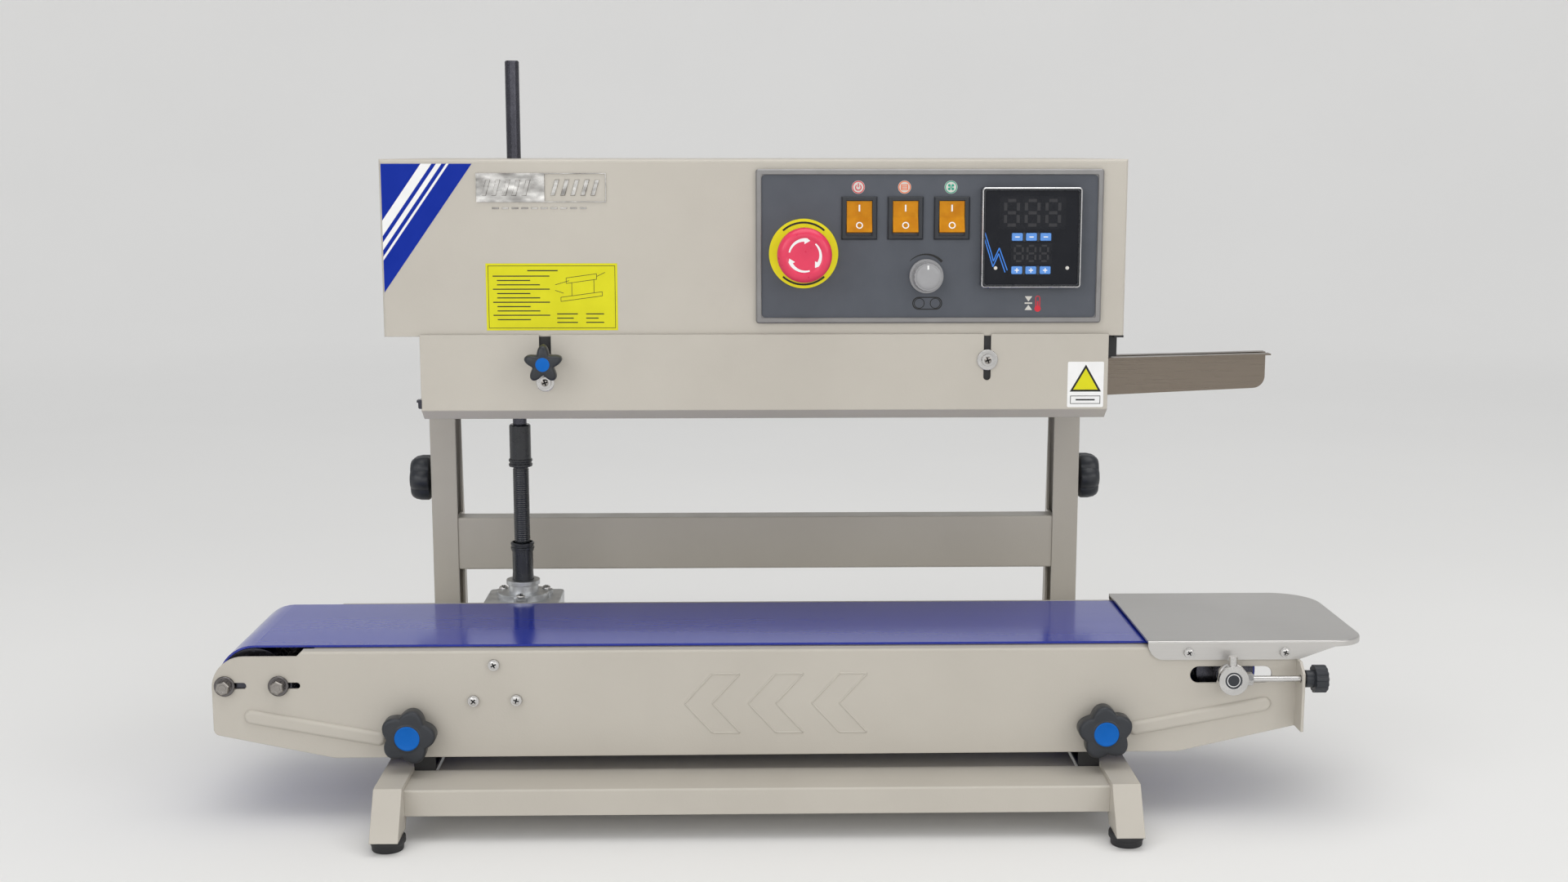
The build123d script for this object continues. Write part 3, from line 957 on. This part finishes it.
# ---- Gearbox and vertical drive shaft -----------------------------------------------------------
BOX_X = (SHAFT_X - 30.5, SHAFT_X + 30.5)
BOX_Y = (31.0, 89.0)
BOX_Z = (72.0, 125.0)
BOSS_TOP = 140.0
EAR_SPAN = 20.0         # from the shaft to each screwed ear of the top flange
INPUT_R = 5.0           # stub of the upright shaft in the gearbox
with BuildPart() as gearbox_housing:
    block(BOX_X, BOX_Y, BOX_Z)
    fillet(gearbox_housing.edges().filter_by(Axis.Z), radius=4)
    fillet(gearbox_housing.faces().sort_by(Axis.Z)[-1].edges(), radius=1.5)
    block((BOX_X[0] + 1, BOX_X[1] - 1), (CONV_BACK, 35), (BOX_Z[0] + 4, BOX_Z[1] - 4))
    rod((SHAFT_X, SHAFT_Y, BOX_Z[1] - 3), 20.5, 8)
    rod((SHAFT_X, SHAFT_Y, BOX_Z[1] + 5), 12.0, BOSS_TOP - BOX_Z[1] - 8.5)
    rod((SHAFT_X, SHAFT_Y, BOSS_TOP - 3.5), 13.4, 3.5)
    for angle in (30, 150, 270):
        ear_x = SHAFT_X + EAR_SPAN * cos(radians(angle))
        ear_y = SHAFT_Y + EAR_SPAN * sin(radians(angle))
        rod((ear_x, ear_y, BOX_Z[1] - 3), 5.5, 7)
    cavity_x = (SHAFT_X - MITRE_R - 2.5, SHAFT_X + MITRE_R + 2.5)
    cavity_z = (DRIVE_ROLLER[1] - MITRE_R - 3, DRIVE_ROLLER[1] + MITRE_R + 3)
    block(cavity_x, (SHAFT_Y - MITRE_R - 3, SHAFT_Y + MITRE_R + 4), cavity_z, mode=Mode.SUBTRACT)
    rod((SHAFT_X, SHAFT_Y, DRIVE_ROLLER[1]), INPUT_R + FIT, 60, mode=Mode.SUBTRACT)
    rod((SHAFT_X, 20, DRIVE_ROLLER[1]), AXLE_R + FIT, 50, axis="Y", mode=Mode.SUBTRACT)
save(gearbox_housing, "gearbox_housing")

LOWER_SLEEVE_Z = (BOSS_TOP + GAP, 171.0)
HOSE_TOP = 232.0
UPPER_SLEEVE_TOP = 267.0
SHAFT_BOTTOM = UPPER_SLEEVE_TOP - 22
with BuildPart() as flexible_coupling:
    with BuildSketch(Plane.XZ) as lower:
        with BuildLine():
            Polyline(
                (0, DRIVE_ROLLER[1] + MITRE_SMALL), (MITRE_SMALL - 0.5, DRIVE_ROLLER[1] + MITRE_SMALL),
                (MITRE_R - 0.5, DRIVE_ROLLER[1] + MITRE_R), (MITRE_R - 2, DRIVE_ROLLER[1] + MITRE_R + 2),
                (INPUT_R, DRIVE_ROLLER[1] + MITRE_R + 2), (INPUT_R, LOWER_SLEEVE_Z[0]),
                (8.65, LOWER_SLEEVE_Z[0]),
                (8.3, LOWER_SLEEVE_Z[0] + 6), (8.3, LOWER_SLEEVE_Z[1] - 7), (9.0, LOWER_SLEEVE_Z[1] - 7),
                (9.0, LOWER_SLEEVE_Z[1] - 5), (8.3, LOWER_SLEEVE_Z[1] - 5), (8.3, LOWER_SLEEVE_Z[1] - 3),
                (9.0, LOWER_SLEEVE_Z[1] - 3), (9.0, LOWER_SLEEVE_Z[1] - 1), (8.3, LOWER_SLEEVE_Z[1]),
                (6.0, LOWER_SLEEVE_Z[1]), (6.0, HOSE_TOP), (8.5, HOSE_TOP + 1), (9.2, HOSE_TOP + 1),
                (9.2, HOSE_TOP + 3), (8.5, HOSE_TOP + 3), (8.5, HOSE_TOP + 5), (9.2, HOSE_TOP + 5),
                (9.2, HOSE_TOP + 7), (8.5, HOSE_TOP + 7), (8.5, UPPER_SLEEVE_TOP - 1),
                (7.5, UPPER_SLEEVE_TOP),
                (SHAFT_R, UPPER_SLEEVE_TOP), (SHAFT_R, SHAFT_BOTTOM), (0, SHAFT_BOTTOM), close=True)
        make_face()
    revolve(axis=Axis.Z)
flexible_coupling.part = flexible_coupling.part.moved(Location((SHAFT_X, SHAFT_Y, 0)))
save(flexible_coupling, "flexible_coupling")

KEYWAY_W = KEY_BAR + 0.4
with BuildPart() as drive_shaft:
    rod((SHAFT_X, SHAFT_Y, SHAFT_BOTTOM), SHAFT_R, SHAFT_TOP - SHAFT_BOTTOM)
    chamfer(drive_shaft.edges().sort_by(Axis.Z)[-1], length=0.8)
    keyway_y = (SHAFT_Y - SHAFT_R - 1, SHAFT_Y - SHAFT_R + 1.9)
    keyway_x = (SHAFT_X - KEYWAY_W / 2, SHAFT_X + KEYWAY_W / 2)
    block(keyway_x, keyway_y, (UPPER_SLEEVE_TOP + 10, SHAFT_TOP + 1), mode=Mode.SUBTRACT)
save(drive_shaft, "drive_shaft")

# ---- Clamping knobs and screws of the conveyor --------------------------------------------------
for side_name, clamp_x in zip(("left", "right"), CLAMP_X):
    star_knob(
        Plane(origin=(clamp_x, -133, CLAMP_Z), x_dir=(1, 0, 0), z_dir=(0, -1, 0)),
        outer=20.5, lobes=5, thickness=13, bite=9.0, hub=(9.0, 4.9), stud=(CLAMP_STUD_R, 8.6),
        cap=(9.2, 0.9), name=f"{side_name}_clamp_knob")

BEARING_SCREWS = ((-214.8, 117.8), (-229.9, 91.2), (-199.1, 91.6))
TRAY_SCREW_X = (286.5, 356.3)
TRAY_SCREW_Z = 124.6
with BuildPart() as conveyor_fasteners:
    for screw_x, screw_z in BEARING_SCREWS:
        rod((screw_x, CONV_FRONT - 2.4, screw_z), 4.0, 2.4, axis="Y")
    for screw_x in TRAY_SCREW_X:
        rod((screw_x, TRAY_Y[0] - 2.2, TRAY_SCREW_Z), 3.6, 2.2, axis="Y")
        rod((screw_x, TRAY_Y[1], TRAY_SCREW_Z), 3.6, 2.2, axis="Y")
    for clamp_x in CLAMP_X:
        nut_y = SUPPORT_Y[0] + PLATE + 0.3
        block((clamp_x - 7, clamp_x + 7), (nut_y, nut_y + 3.5), (CLAMP_Z - 7, CLAMP_Z + 7))
        rod((clamp_x, nut_y - 1, CLAMP_Z), CLAMP_STUD_R + FIT, 6, axis="Y", mode=Mode.SUBTRACT)
        hexagon_head((clamp_x, CONV_BACK, CLAMP_Z), 13, 5)
        bolt_y = SUPPORT_Y[1] - PLATE - 3
        rod((clamp_x, bolt_y, CLAMP_Z), CLAMP_STUD_R - 0.1, CONV_BACK + 1 - bolt_y, axis="Y")
        rod((clamp_x, bolt_y - 1.3, CLAMP_Z), 7.0, 4.0, axis="Y")
    hexagon_head((CONV_RIGHT, SCREW_Y[1], tension_z), 8.0, 4.0, axis="X")
    rod((CONV_RIGHT - 1, SCREW_Y[1], tension_z), SCREW_R + FIT, 6, axis="X", mode=Mode.SUBTRACT)
save(conveyor_fasteners, "conveyor_fasteners")
